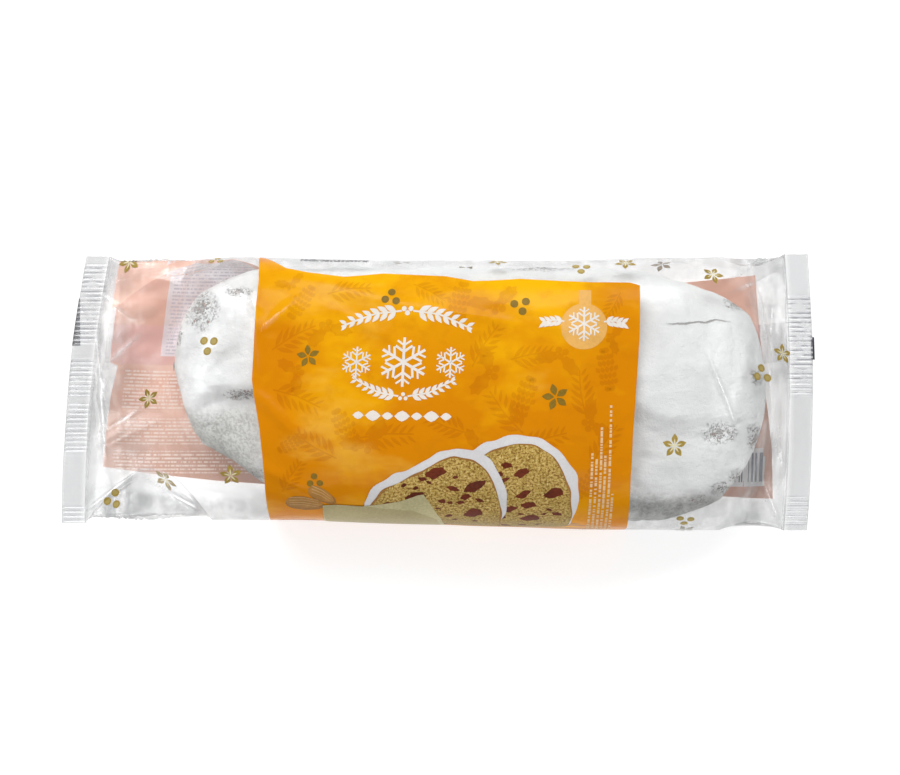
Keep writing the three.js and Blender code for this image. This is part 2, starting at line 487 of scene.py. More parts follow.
def shapeFilm():
    shares = np.linspace(0, 1, bag["rings"] + 1)
    shares = shares - bag["crowding"] * np.sin(2 * math.pi * shares) / (2 * math.pi)
    rings = [evenlySpaced(filmRing(share), bag["around"]) for share in shares]
    grid = np.array([ring[:, :3] for ring, _ in rings])
    perimeters = np.array([perimeter for _, perimeter in rings])
    under = []
    for ring, perimeter in rings:
        below = np.sin(ring[:, 3]) < bag["underFrom"]
        run = perimeter * np.arange(bag["around"]) / bag["around"]
        under.append((ring[below][::-1, 1], run[below][::-1]))
    heights, marks = foldHeights(grid)
    base = (grid[:, :, 2] < 0.3) & (gridNormals(grid)[:, :, 2] < -0.7)
    heights[base] = 0
    grid = grid + gridNormals(grid) * heights[..., None]
    grid[:, :, 2] = np.maximum(grid[:, :, 2], bag["underside"])
    return {
        "shares": shares, "grid": grid, "perimeters": perimeters,
        "normals": gridNormals(grid), "under": under, "marks": marks,
    }


film = shapeFilm()
print("film shaped", film["grid"].shape, "perimeter", round(film["perimeters"].max(), 1))


def ringsAt(u):
    left, right = sealInside(leftEnd, 0) + bag["shift"], sealInside(rightEnd, 0) + bag["shift"]
    share = np.clip((np.asarray(u, dtype=float) - left) / (right - left), 0, 1)
    at = np.interp(share, film["shares"], np.arange(len(film["shares"])))
    return at, np.clip(np.floor(at).astype(int), 0, len(film["shares"]) - 2)


def underV(u, w):
    # w is Y on the underside; from wallFrom it goes on up the back wall, by its distance
    at, low = ringsAt(u)
    flat = np.minimum(w, bag["wallFrom"])
    near = [np.interp(y, *film["under"][ring]) for y, ring in zip(flat, low)]
    far = [np.interp(y, *film["under"][ring + 1]) for y, ring in zip(flat, low)]
    return mix(np.array(near), np.array(far), at - low) - np.maximum(w - bag["wallFrom"], 0)


def onFilm(u, v, lift):
    # u is X on the bag's centre line; v runs round the film from its crown, positive to the back
    at, low = ringsAt(u)
    places = normals = 0
    for ring, weight in ((low, 1 - (at - low)), (low + 1, at - low)):
        count = film["grid"].shape[1]
        turn = (np.asarray(v, dtype=float) / film["perimeters"][ring]) % 1 * count
        before = np.floor(turn).astype(int) % count
        after = (before + 1) % count
        part = (turn - np.floor(turn))[:, None]
        places = places + weight[:, None] * mix(film["grid"][ring, before], film["grid"][ring, after], part)
        normals = normals + weight[:, None] * mix(
            film["normals"][ring, before], film["normals"][ring, after], part
        )
    normals /= np.maximum(np.linalg.norm(normals, axis=1, keepdims=True), 1e-9)
    return places + normals * lift


def layOnFilm(piece, lift, underside=False):
    # wraps a flat piece, drawn in film millimetres, onto the film, and keeps the flat drawing as its UV map
    flat = pointsOf(piece)
    writeUv(piece, "flat", flat[:, :2] * 0.01)
    v = underV(flat[:, 0], flat[:, 1]) if underside else flat[:, 1]
    movePoints(piece, onFilm(flat[:, 0], v, lift) * mm)
    return piece


# the loaf

loafSize = {
    "stations": 220,
    "around": 220,
    "crown": 55.5,
    "tips": (-116.2, 144.3),
    "softening": 30,  # of its plan, in steps of 1500 along it
    "lowest": 0.95,  # clear of the print on the bag's underside
    "back": [
        (-116.2, 11), (-114.8, 27.5), (-111.3, 36.3), (-104.3, 45.1), (-92, 52.1), (-78.8, 54.3),
        (-60, 55.2), (-16, 55.4), (28, 55.2), (72, 55), (89, 53.5), (114, 47.3), (126.3, 41.6),
        (136.8, 34.5), (141.7, 27), (143.9, 16), (144.3, -2.9),
    ],
    "front": [
        (-116.2, 11), (-115.3, 3), (-111.3, -7), (-107.8, -16), (-103.4, -22.7), (-95.5, -28.5),
        (-86.7, -33.5), (-76.6, -40.3), (-60, -46.4), (-47, -49.9), (-16, -53.9), (28, -56.6),
        (72, -58.4), (97.7, -58), (106, -55.2), (123.6, -48.3), (130.7, -40), (136, -33.2),
        (143.4, -18), (144.3, -2.9),
    ],
    "foldLine": [  # x, y
        (-116, -9), (-108, -7), (-94, -2.7), (-80, 0), (-30, 2), (30, -2), (85, -10), (110, -16), (144, -21),
    ],
    "foldDrop": [(-116, 7), (-94, 10), (-60, 9), (20, 6), (85, 5), (144, 4)],
    "bare": [  # x, y, half length and half depth of each rubbed place
        (-103, 35, 11, 12), (-86, 42, 8, 3), (-113, 24, 3, 6), (45, 54, 22, 3), (131, 38, 7, 5),
        (121.5, -19.5, 10, 6), (138.5, -20.5, 5.5, 8), (115, -49, 9, 4), (124, -43.5, 9, 4),
        (132, -38, 7, 4.5), (-84, -3, 11, 2.5), (-86, -37, 15, 4), (139, 5, 4, 5),
    ],
    "cracks": [(100, 126, 27, 0.06, 0.55)],  # start x, end x, y, slope, width
}


def shapeLoaf():
    clearSelection()
    bpy.ops.mesh.primitive_uv_sphere_add(
        segments=loafSize["around"], ring_count=loafSize["stations"], radius=1, location=(0, 0, 0)
    )
    loaf = active("loaf")
    points = pointsOf(loaf)
    # the sphere's poles become the loaf's two ends
    turn = np.arccos(np.clip(points[:, 2], -1, 1))
    angle = np.arctan2(points[:, 1], points[:, 0])
    leftTip, rightTip = loafSize["tips"]
    centre, half = (leftTip + rightTip) / 2, (rightTip - leftTip) / 2
    steps = np.linspace(0, math.pi, 1500)
    stepX = centre - half * np.cos(steps)
    x = centre - half * np.cos(turn)
    plan = [fromRows(loafSize[side], stepX) for side in ("front", "back")]
    span = loafSize["softening"]
    plan = [softened(side, span, mode="reflect", reflect_type="odd") for side in plan]
    front, back = [np.interp(turn, steps, side) for side in plan]
    middle, halfWidth = (back + front) / 2, (back - front) / 2
    halfWidth *= smooth(np.sin(turn) * 3.0) ** 0.35
    far = np.abs(x - centre) / half
    rise = (1 - np.clip(far, 0, 1) ** 3.2) ** 0.5
    side = np.interp(x, [-116, -60, 90, 144], [17, 19, 20, 22])
    across, up = np.cos(angle), np.sin(angle)
    y = middle + halfWidth * signedPower(across, 0.78)
    top = (loafSize["crown"] - side) * rise
    low = side * np.clip(rise * 1.25, 0, 1)
    z = np.where(up > 0, side + top * np.abs(up) ** 0.86, side - low * 1.12 * np.abs(up) ** 0.6)

    # the dough is folded over: in front of the fold line lies a lower lip
    line = fromRows(loafSize["foldLine"], x)
    drop = fromRows(loafSize["foldDrop"], x)
    upper = smooth(up * 3.2)
    ahead = line + 2.5 * np.sin(x / 9) - y
    z -= drop * smooth((ahead + 1) / 7) * (1 - 0.65 * smooth((ahead - 10) / 32)) * upper * rise
    z -= mix(0.8, 2.2, smooth((x + 80) / 40)) * np.exp(-(((ahead - 0.5) / 2.2) ** 2)) * upper * rise

    place = np.stack([x, y, z], axis=1)
    push = np.zeros(len(place))
    for i, (px, py, pz) in enumerate(place):
        spot = Vector((px, py, pz))
        lip = 1.0 if ahead[i] > 2 and up[i] > 0 else 0.0
        push[i] = 1.9 * noise.noise(spot / 27) + 0.9 * noise.noise(spot / 11 + Vector((4, 1, 0)))
        push[i] += (0.22 + 0.18 * lip) * noise.noise(spot / 3.6)
        cracked = abs(noise.noise(spot / 21 + Vector((0, 9, 2))))
        push[i] -= 0.9 * max(0.0, 1 - cracked * 16)
    centreLine = np.stack([x, middle, np.full(len(x), 18.0)], axis=1)
    away = place - centreLine
    away /= np.maximum(np.linalg.norm(away, axis=1, keepdims=True), 1e-6)
    place = place + away * (push - 0.8)[:, None]
    place[:, 2] = np.maximum(place[:, 2], loafSize["lowest"])
    movePoints(loaf, place * mm)
    return finishMesh(loaf, outward=True)


def sugarFinish():
    sugar = Finish("icing_sugar_crust", Roughness=0.85, Specular_IOR_Level=0.25)
    place = sugar.place()
    x, y, z = sugar.axes(place)  # in metres, so the lengths below are too
    cloud = sugar.grain(place, 55, 5, 0.6)
    speck = sugar.grain(place, 1300, 3, 0.7)
    ragged = sugar.grain(place, 760, 6, 0.75)
    coarse = sugar.grain(place, 190, 5, 0.65)
    wobble = sugar.add("ShaderNodeTexNoise", {}, {"Vector": place, "Scale": 160.0, "Detail": 5.0}, "Color")
    warp = {0: wobble, 1: (0.016, 0.016, 0.016), 2: place}
    warped = sugar.add("ShaderNodeVectorMath", {"operation": "MULTIPLY_ADD"}, warp, "Vector")
    crackle = 1 - sugar.cells(warped, 420, "DISTANCE_TO_EDGE").over(0.0, 0.13)
    # where the sugar has rubbed off or cracked, the baked crust shows
    spots = []
    for spotX, spotY, halfLength, halfDepth in loafSize["bare"]:
        dx, dy = (x - spotX * mm) / (halfLength * mm), (y - spotY * mm) / (halfDepth * mm)
        spots.append(1 - (dx * dx + dy * dy) ** 0.5)
    bare = largest(spots) - (0.021 - z).over(0.0, 0.012)
    flaked = (bare * 0.5 + ragged * 1.4 + coarse * 0.6 - 1.33).over(0.0, 0.08)
    split = crackle * (bare * 1.1 + coarse * 1.1 - 0.66).over(0.0, 0.25) * ragged.over(0.40, 0.52)
    bareMask = largest([flaked, split * 0.85])
    seams = []
    for startX, endX, startY, slope, width in loafSize["cracks"]:
        off = y - (startY * mm) - (x - startX * mm) * slope - (cloud - 0.5) * 0.006
        near = 1 - off.maths("ABSOLUTE", off).over(width * 0.3 * mm, width * mm)
        seams.append(near * between(x, startX * mm, endX * mm, 3 * mm))
    seam = largest(seams)
    # in front of the fold and along the foot the sugar lies thin and granular; its greys there are partly
    # that sugar and partly painted shade
    low = (0.030 - z).over(0.0, 0.020) * (coarse + ragged).over(0.80, 1.10)
    lip = (0.0 - y - 0.004).over(0.0, 0.010) * (-0.070 - x).over(0.0, 0.012)
    foot = (-0.039 - y).over(0.0, 0.018) * (x - 0.06).over(0.0, 0.03)
    foot = foot + lip * (0.033 - z).over(0.0, 0.014) * coarse.over(0.38, 0.60)
    thinAndShaded = (lip * 0.75 + low * 0.7 + foot).clamped()
    # painted light and shade: the sugar is painted whiter towards the left end and greyer towards the right,
    # for how the light falls
    white = sugar.blend(x.over(-0.08, 0.09), (0.97, 0.975, 0.97), (0.87, 0.88, 0.87))
    dusty = sugar.blend(cloud.over(0.35, 0.65), (0.80, 0.81, 0.80), white)
    grey = sugar.blend(speck.over(0.58, 0.72) * 0.22, dusty, (0.72, 0.71, 0.68))
    coarser = (ragged * 0.6 + coarse * 0.4).over(0.42, 0.56)
    grains = sugar.blend(coarser, (0.36, 0.36, 0.31), (0.84, 0.85, 0.80))
    # painted shade: the front of the foot is blended towards dark grey
    sandedAndShaded = sugar.blend(foot * 0.65, sugar.blend(thinAndShaded * 0.8, grey, grains), (0.20, 0.20, 0.18))
    baked = sugar.blend(coarse.over(0.60, 0.66), (0.36, 0.33, 0.31), (0.34, 0.17, 0.09))
    crust = sugar.blend(sugar.grain(place, 1500, 4, 0.7).over(0.40, 0.60), (0.10, 0.085, 0.075), baked)
    shown = sugar.blend(bareMask * 0.85, sandedAndShaded, crust)
    sugar.give("Base Color", sugar.blend(seam * 0.7, shown, (0.22, 0.20, 0.18)))
    fine = sugar.grain(place, 1600, 2, 0.6)
    clumps = sugar.grain(place, 300, 5, 0.65)
    wrinkles = sugar.grain(place, 70, 3, 0.5, stretch=(0.5, 1.2, 1.0))
    pits = ragged * thinAndShaded
    height = fine * 0.3 + clumps * 0.8 + wrinkles * 2.4 + pits * 1.2 - bareMask * 0.5 - seam * 1.5
    sugar.relief(height, 0.0015, 0.65)
    return sugar


# film pieces


def clearFilmFinish(name, haze):
    clear = Finish(name, Roughness=0.24, Metallic=0.35)
    place = clear.place()
    waves = clear.grain(place, 95, 3, 0.5, stretch=(0.6, 1.0, 1.0))
    facets = clear.cells(clear.stretched(place, (0.7, 1.0, 1.0)), 60)
    clear.relief(waves + facets * 0.6, 0.0014, 0.4)
    rim = clear.add("ShaderNodeLayerWeight", {}, {"Blend": 0.35}, "Facing")
    # the film looks greyer where nothing lies close behind it: it is painted grey there as painted shade,
    # with streaks of painted reflection
    x, y = clear.axes(place)[:2]
    ends = x.over(0.122, 0.146) * 1.25 + (-0.120 - x).over(0.0, 0.022) * 1.2
    walls = (y - 0.047).over(0.0, 0.008) * 1.6 + (-0.041 - y).over(0.0, 0.008) * 1.7
    bare = ends + walls * 0.6
    empty = bare.maths("MINIMUM", bare, 1.25)
    milky = clear.grain(place, 70, 3, 0.55, stretch=(0.5, 1.0, 1.0)).over(0.40, 0.70)
    streaks = clear.grain(place, 190, 3, 0.6, stretch=(1.0, 0.22, 0.5)).over(0.42, 0.66)
    grey = clear.blend(streaks, (0.40, 0.41, 0.41), (0.80, 0.80, 0.80))
    # painted highlight: milky white lines along the narrow creases
    line = clear.axes(clear.flat("marks"))[0] * milky.over(-0.4, 0.6)
    tinted = clear.blend(empty, (0.86, 0.87, 0.88), grey)
    clear.give("Base Color", clear.blend(line, tinted, (0.95, 0.95, 0.95)))
    alpha = haze + milky * 0.05 + empty * (0.16 + milky * 0.12) + rim ** 3.0 * 0.3
    clear.give("Alpha", (alpha + line * 0.4).clamped())
    return clear


def sealFinish(name, end):
    # two films welded: milky, with pressed ridges whose crests are painted light and whose troughs are
    # painted dark, as painted highlight and shade
    weld = Finish(name, Roughness=0.26, Metallic=0.25)
    place = weld.place()
    outward = weld.axes(weld.flat())[0]
    along = weld.axes(place)[1] * 1000
    pressed = sum(between(along, low, high, 0.8) * strength for low, high, strength in end["ridges"])
    phase = along * (math.tau / end["pitch"])
    wave = phase.maths("SINE", phase)
    cloud = weld.grain(place, 130, 3, stretch=(1.0, 0.4, 1.0))
    broken = weld.grain(place, 110, 3, stretch=(1.0, 3.0, 1.0)).over(0.36, 0.55)
    crests = pressed * wave.over(0.0, 0.8) * broken
    troughs = pressed * (0 - wave).over(0.1, 0.9) * broken
    plain = weld.blend(cloud.over(0.35, 0.65), (0.40, 0.41, 0.42), (0.54, 0.55, 0.56))
    darkened = weld.blend(troughs * 0.9, plain, (0.30, 0.31, 0.34))
    weld.give("Base Color", weld.blend(crests * 0.9, darkened, (0.95, 0.95, 0.96)))
    weld.relief(cloud, 0.0006, 0.3)
    body = cloud * 0.15 + 0.22 + (crests + troughs) * 0.3
    weld.give("Alpha", (body * (0.3 + outward.over(0.0, 0.35) * 0.7)).clamped())
    return weld


def makeFilm(finish):
    sheet = flatSheet("film_tube", (0, 1), (0, 1), bag["rings"], bag["around"])
    points = pointsOf(sheet)
    ring = np.rint(points[:, 0] * bag["rings"]).astype(int)
    turn = np.rint(points[:, 1] * bag["around"]).astype(int) % bag["around"]
    movePoints(sheet, film["grid"][ring, turn] * mm)
    highlighted = film["marks"][ring, turn]
    writeUv(sheet, "marks", np.stack([highlighted, highlighted], axis=1))
    return dressed(finishMesh(sheet, merge=1e-6), finish, shadow=False)


def makeSeal(name, end, finish):
    sheet = flatSheet(name, (0, 1), (-1, 1), 8, 420)
    points = pointsOf(sheet)
    y = points[:, 1] * end["halfLength"] + end["centre"]
    outward = points[:, 0]
    x = mix(sealInside(end, y) - end["side"] * 1.5, cutEdge(end, y), outward)
    ridge = np.sin(math.tau * y / end["pitch"])
    strong = 0.15
    for low, high, strength in end["ridges"]:
        strong = strong + strength * smooth((y - low) + 0.5) * smooth((high - y) + 0.5)
    held = smooth(outward * 6) * (0.85 + 0.15 * smooth((1 - outward) * 8))
    z = sealHeight(end, y) + 0.28 * ridge * strong * held
    z += 0.5 * np.sin(y / 8.5) * outward
    movePoints(sheet, np.stack([x + bag["shift"], y, z], axis=1) * mm)
    sheet.data.uv_layers[0].name = "flat"
    return dressed(thickened(finishMesh(sheet), 0.35), finish)


# flat drawings of the print, in film millimetres; each is laid on the film afterwards

inks = {
    "lightOrange": (0.97, 0.49, 0.004),
    "deepOrange": (0.72, 0.245, 0.002),
    # a painted sheen colour, for painted highlights on the band
    "sheen": (0.95, 0.56, 0.08),
    "tonal": (0.62, 0.205, 0.003),
    "gold": (0.46, 0.325, 0.075),
    "goldVein": (0.80, 0.72, 0.45),
    "goldHeart": (0.52, 0.40, 0.13),
    "oliveGold": (0.29, 0.18, 0.022),
    "white": (0.87, 0.81, 0.74),
    "paleOrange": (0.87, 0.48, 0.13),
    "peach": (0.90, 0.57, 0.45),
    "overlap": (0.78, 0.42, 0.38),
    "rowGrey": (0.50, 0.46, 0.52),
    "icing": (0.78, 0.76, 0.76),
    "crustLine": (0.42, 0.20, 0.05),
    "fruit": (0.19, 0.034, 0.012),
    "almond": (0.52, 0.25, 0.06),
    "almondStreak": (0.78, 0.50, 0.23),
    "paper": (0.62, 0.55, 0.30),
    "paperFold": (0.50, 0.42, 0.21),
    "board": (0.66, 0.33, 0.10),
    "darkDash": (0.10, 0.10, 0.11),
    "paleBar": (0.88, 0.60, 0.32),
    "backRow": (0.97, 0.82, 0.74),
    "panel": (0.86, 0.83, 0.86),
    "panelOverlap": (0.78, 0.68, 0.72),
    "codeGround": (0.80, 0.79, 0.80),
    "codeStripe": (0.20, 0.22, 0.27),
    "register": (0.06, 0.06, 0.08),
}
templates = []


def template(piece):
    templates.append(piece)
    return piece


def joined(name, pieces):
    selectOnly(pieces)
    if len(pieces) > 1:
        bpy.ops.object.join()
    return active(name)


def placedFlat(shape, u, v, size=1.0, turn=0.0, squeeze=1.0):
    # a copy with its own mesh, scaled, turned in degrees and moved in the film's plane
    copy = shape.copy()
    copy.data = shape.data.copy()
    bpy.context.scene.collection.objects.link(copy)
    flat = pointsOf(copy)
    swing = math.radians(turn)
    x, y = flat[:, 0] * size, flat[:, 1] * size * squeeze
    turnedX = x * math.cos(swing) - y * math.sin(swing)
    turnedY = x * math.sin(swing) + y * math.cos(swing)
    movePoints(copy, np.stack([u + turnedX, v + turnedY, flat[:, 2]], axis=1))
    return copy


def scattered(shape, spots):
    return [placedFlat(shape, *spot) for spot in spots]


def leafShape(name, length, width, widest=0.45, steps=6):
    leaf = flatSheet(name, (0, 1), (-1, 1), steps, 2)
    flat = pointsOf(leaf)
    along = flat[:, 0]
    bend = np.where(along < widest, along / widest, (1 - along) / (1 - widest))
    profile = np.sin(bend * math.pi / 2) ** 1.1 * width / 2
    movePoints(leaf, np.stack([along * length, flat[:, 1] * profile, flat[:, 2]], axis=1))
    return finishMesh(leaf, merge=1e-4)


def ribbon(name, path, width, steps=12, taper=0.0):
    strip = flatSheet(name, (0, 1), (-0.5, 0.5), steps, 1)
    flat = pointsOf(strip)
    route = np.array(path, dtype=float)
    fine = np.linspace(0, 1, 200)
    line = [np.interp(fine, np.linspace(0, 1, len(route)), values) for values in route.T]
    if len(route) > 2:
        line = [softened(values, 20, mode="reflect", reflect_type="odd") for values in line]
    slope = np.gradient(np.array(line), axis=1)
    slope /= np.linalg.norm(slope, axis=0)
    at = [np.interp(flat[:, 0], fine, values) for values in (*line, *slope)]
    wide = flat[:, 1] * width * (1 - taper * flat[:, 0])
    movePoints(strip, np.stack([at[0] - at[3] * wide, at[1] + at[2] * wide, flat[:, 2]], axis=1))
    return strip


def patch(name, outline, grow=0.0, cells=16, ragged=0.0, upOnly=False, soft=16):
    # fills a flat outline whose points can all be seen from its middle
    corners = np.array(outline, dtype=float)
    shares = np.linspace(0, 1, 12, endpoint=False)[:, None]
    edge = np.concatenate([mix(a, b, shares) for a, b in zip(corners, np.roll(corners, -1, axis=0))])
    middle = (edge.max(axis=0) + edge.min(axis=0)) / 2
    angle = np.arctan2(edge[:, 1] - middle[1], edge[:, 0] - middle[0])
    order = np.argsort(angle)
    radius = np.linalg.norm(edge - middle, axis=1)[order]
    turns = np.linspace(-math.pi, math.pi, 720, endpoint=False)
    around = np.interp(turns, angle[order], radius, period=2 * math.pi)
    around = softened(around, soft, mode="wrap")
    if grow:
        around = around + grow * (smooth(np.sin(turns) * 1.6 + 0.75) if upOnly else 1)
    if ragged:
        rough = [noise.noise((math.cos(a) * 4 + edge[0, 0], math.sin(a) * 4, grow)) for a in turns]
        around = around + ragged * np.array(rough)
    sheet = flatSheet(name, (-1, 1), (-1, 1), cells, cells)
    flat = pointsOf(sheet)
    square = np.maximum(np.abs(flat[:, 0]), np.abs(flat[:, 1]))
    facing = np.arctan2(flat[:, 1], flat[:, 0])
    out = square * np.interp(facing, turns, around, period=2 * math.pi)
    x, y = middle[0] + out * np.cos(facing), middle[1] + out * np.sin(facing)
    movePoints(sheet, np.stack([x, y, flat[:, 2]], axis=1))
    return sheet


def roundSpot(name, radius):
    clearSelection()
    bpy.ops.mesh.primitive_circle_add(vertices=20, radius=radius, fill_type="TRIFAN", location=(0, 0, 0))
    return active(name)


def printedOn(name, pieces, finish, lift, underside=False, shadow=True):
    laid = layOnFilm(joined(name, pieces), lift, underside)
    return dressed(finishMesh(laid), finish, shadow=shadow)


def inkFinish(name, colour, shade, grainScale=900):
    # ink on film: fine dots of tone, and a soft gloss
    ink = Finish(name, Roughness=0.4, Specular_IOR_Level=0.12)
    place = ink.place()
    tone = ink.grain(place, grainScale, 2, 0.6)
    wide = ink.grain(place, 60, 2)
    darker = shaded(colour, (shade, shade, shade))
    ink.give("Base Color", ink.blend((tone * 0.5 + wide * 0.5).over(0.35, 0.65), darker, colour))
    ink.relief(wide, 0.0008, 0.15)
    return ink


band = {
    "rows": [56, 40, 18, -4, -25, -43, -75, -100, -128],
    "left": [-82.6, -80.4, -79.2, -78.7, -74.2, -71.9, -70.8, -72, -74],
    "right": [86.2, 86.2, 85.9, 84.8, 84, 84, 85.1, 84, 83],
    "span": (50, -128),
    "topAt": [-82.6, -78.5, -74, -69.6, -60.1, -43.7, -26.6, 0.7, 13.1, 33.5, 64.3, 82, 86.2],
    "top": [61, 57, 51, 46.6, 44, 42.3, 45.1, 44, 41.1, 43.1, 41.3, 41.2, 39.8],
}


def makeBand(finish):
    # the wide printed band: its back edge runs just behind the crown, and it wraps round the front
    sheet = flatSheet("orange_band", (0, 1), (0, 1), 190, 170)
    flat = pointsOf(sheet)
    rows = -np.array(band["rows"], dtype=float)
    top, bottom = band["span"]
    for _ in range(2):  # the wavy top edge depends on u, and u on v
        v = mix(top, bottom, flat[:, 1])
        u = mix(np.interp(-v, rows, band["left"]), np.interp(-v, rows, band["right"]), flat[:, 0])
        top = np.interp(u, band["topAt"], band["top"])
    movePoints(sheet, np.stack([u, v, v * 0], axis=1))
    return dressed(finishMesh(layOnFilm(sheet, 0.06)), finish)


def bandFinish(name, tone):
    # the orange ink; tone darkens it a little for the faint motifs
    light, deep, glow, blot = [
        shaded(inks[name], tone) for name in ("lightOrange", "deepOrange", "sheen", "tonal")
    ]
    orange = Finish(name, Roughness=0.19, Specular_IOR_Level=0.07)
    place = orange.place()
    v = orange.axes(orange.flat())[1]
    # painted shade: soft darker patches where the film folds over the print
    foldShade = orange.grain(place, 26, 4, 0.6, stretch=(0.7, 1.0, 1.0))
    mottle = orange.grain(place, 150, 4, 0.6)
    lower = (0.32 - v).over(0.0, 0.75) * 0.6 + foldShade.over(0.60, 0.38) * 0.65
    x = orange.axes(place)[0]
    sides = (-0.035 - x).over(0.0, 0.035) * 0.45 + (x - 0.055).over(0.0, 0.03) * 0.25
    mixed = orange.blend((lower + sides).clamped(), light, deep)
    # painted sheen: pale patches of painted highlight along the film's folds
    sheen = orange.grain(place, 34, 4, 0.6, stretch=(0.45, 1.0, 1.0)).over(0.54, 0.70)
    mixed = orange.blend(sheen * 0.45, mixed, glow)
    orange.give("Base Color", orange.blend(mottle.over(0.5, 0.68) * 0.22, mixed, blot))
    slow = orange.grain(place, 38, 2, stretch=(0.55, 1.0, 1.0))
    quick = orange.grain(place, 130, 2, stretch=(0.45, 1.0, 1.0))
    orange.relief(slow + quick * 0.25, 0.0028, 0.4)
    return orange


def starShape():
    petal = template(leafShape("petal", 4.5, 2.5, 0.5))
    petals = []
    for i in range(5):
        turn = 90 + 72 * i
        swing = math.radians(turn)
        petals.append(placedFlat(petal, 0.55 * math.cos(swing), 0.55 * math.sin(swing), 1, turn))
    return template(joined("leaf_star", petals))


def tripleShape(name, radius):
    spot = template(roundSpot(name + "_spot", radius))
    return template(joined(name, scattered(spot, ((0, 2.3), (-2.6, -1.2), (2.2, -1.8)))))


goldPrint = {
    # u, v, size, turn of each
    "stars": [
        (-143.2, 55.1, 1, 20), (-125.2, -9, 0.95, 15), (-86.3, -45, 1, 5), (80.7, 54.3, 1, 30),
        (118.9, 46.3, 1, 50), (151.4, 15.7, 0.9, 0), (101.7, -29.8, 1.05, 0), (24, 58, 0.9, 40),
        (-60, -104, 1, 10), (112, -92, 1, 25), (-118, -88, 1, 60), (100, 88, 1, 15), (-92, 86, 1, 45),
        (10, 92, 1, 0),
    ],
    "triples": [
        (-99, 12, 1.05, -60), (-140.6, -51, 1.05, 100), (60.6, 50, 1, 180), (140.3, 4, 1, 10),
        (109.3, -66.5, 1, 180), (-102, 56, 0.9, 0), (-20, 78, 1, 30), (60, 96, 1, 120),
        (-132, 100, 1, 80), (134, 92, 1, 200),
    ],
    "onOrangeStars": [(-55.2, 6, 1, 8), (50.5, -9.3, 1.15, 16)],
    "onOrangeTriples": [(-21.5, 32.6, 1, 0), (34.5, 29.5, 1.05, 200), (-50.1, -47.4, 0.85, 10)],
}


def makeGoldPrint():
    star = starShape()
    triple, heart = tripleShape("triple_berry", 1.65), tripleShape("berry_heart", 1.05)
    line = template(leafShape("vein_line", 3.2, 0.75, 0.4, 4))
    vein = template(joined("vein_star", scattered(line, [(0, 0, 1, 90 + 72 * i) for i in range(5)])))
    gold = inkFinish("gold_ink", inks["gold"], 0.7)
    olive = inkFinish("olive_gold_ink", inks["oliveGold"], 0.75)
    veinInk = inkFinish("pale_gold_ink", inks["goldVein"], 0.9)
    heartInk = inkFinish("berry_heart_ink", inks["goldHeart"], 0.8)
    for name, shape, spots, ink, lift in (
        ("gold_stars", star, "stars", gold, 0.16),
        ("gold_berries", triple, "triples", gold, 0.16),
        ("star_veins", vein, "stars", veinInk, 0.20),
        ("berry_hearts", heart, "triples", heartInk, 0.20),
        ("olive_stars", star, "onOrangeStars", olive, 0.16),
        ("olive_berries", triple, "onOrangeTriples", olive, 0.16),
    ):
        printedOn(name, scattered(shape, goldPrint[spots]), ink, lift)


tonalPrint = {
    # u, v, size, turn of each faint winter motif
    "twigs": [
        (-62, 14, 1, 30), (-59, -12, 1.05, -20), (-40, 35, 0.9, 10), (-5, 35, 0.8, -30), (20, 12, 1, 60),
        (30, -16, 1.1, 130), (40, 8, 0.9, 10), (62, -8, 1, 100), (72, -30, 1, 60), (-20, -27, 1.1, 5),
        (-50, -32, 1, 150), (5, -22, 0.9, 160), (46, -28, 1, 20), (-60, -46, 0.8, 60), (74, 30, 0.7, 240),
        (-60, -84, 1, 20), (-30, -96, 1, 110), (10, -100, 1, 40), (48, -98, 1, 150), (70, -92, 1, 80),
    ],
    "cones": [
        (8, 31, 1.1, 80), (37, -10, 1.1, 70), (72, 3, 1.0, 100), (-60, 30, 0.9, 60), (-38, -24, 1, 120),
        (66, -46, 0.9, 60), (-60, -31, 0.7, 30), (-46, -102, 1, 60), (30, -103, 1, 100), (-10, -84, 1, 20),
    ],
    "hollies": [
        (22, 1, 1, 80), (-48, 18, 0.9, 200), (52, 8, 0.9, 160), (24, 30, 1, 20), (-28, -30, 1, 30),
        (66, -20, 0.9, 300), (-60, -1, 0.8, 120), (-66, 38, 0.6, 20), (74, 16, 0.6, 260), (-60, -98, 1, 200),
        (0, -106, 1, 60), (62, -104, 1, 10), (18, -32, 0.8, 90),
    ],
}


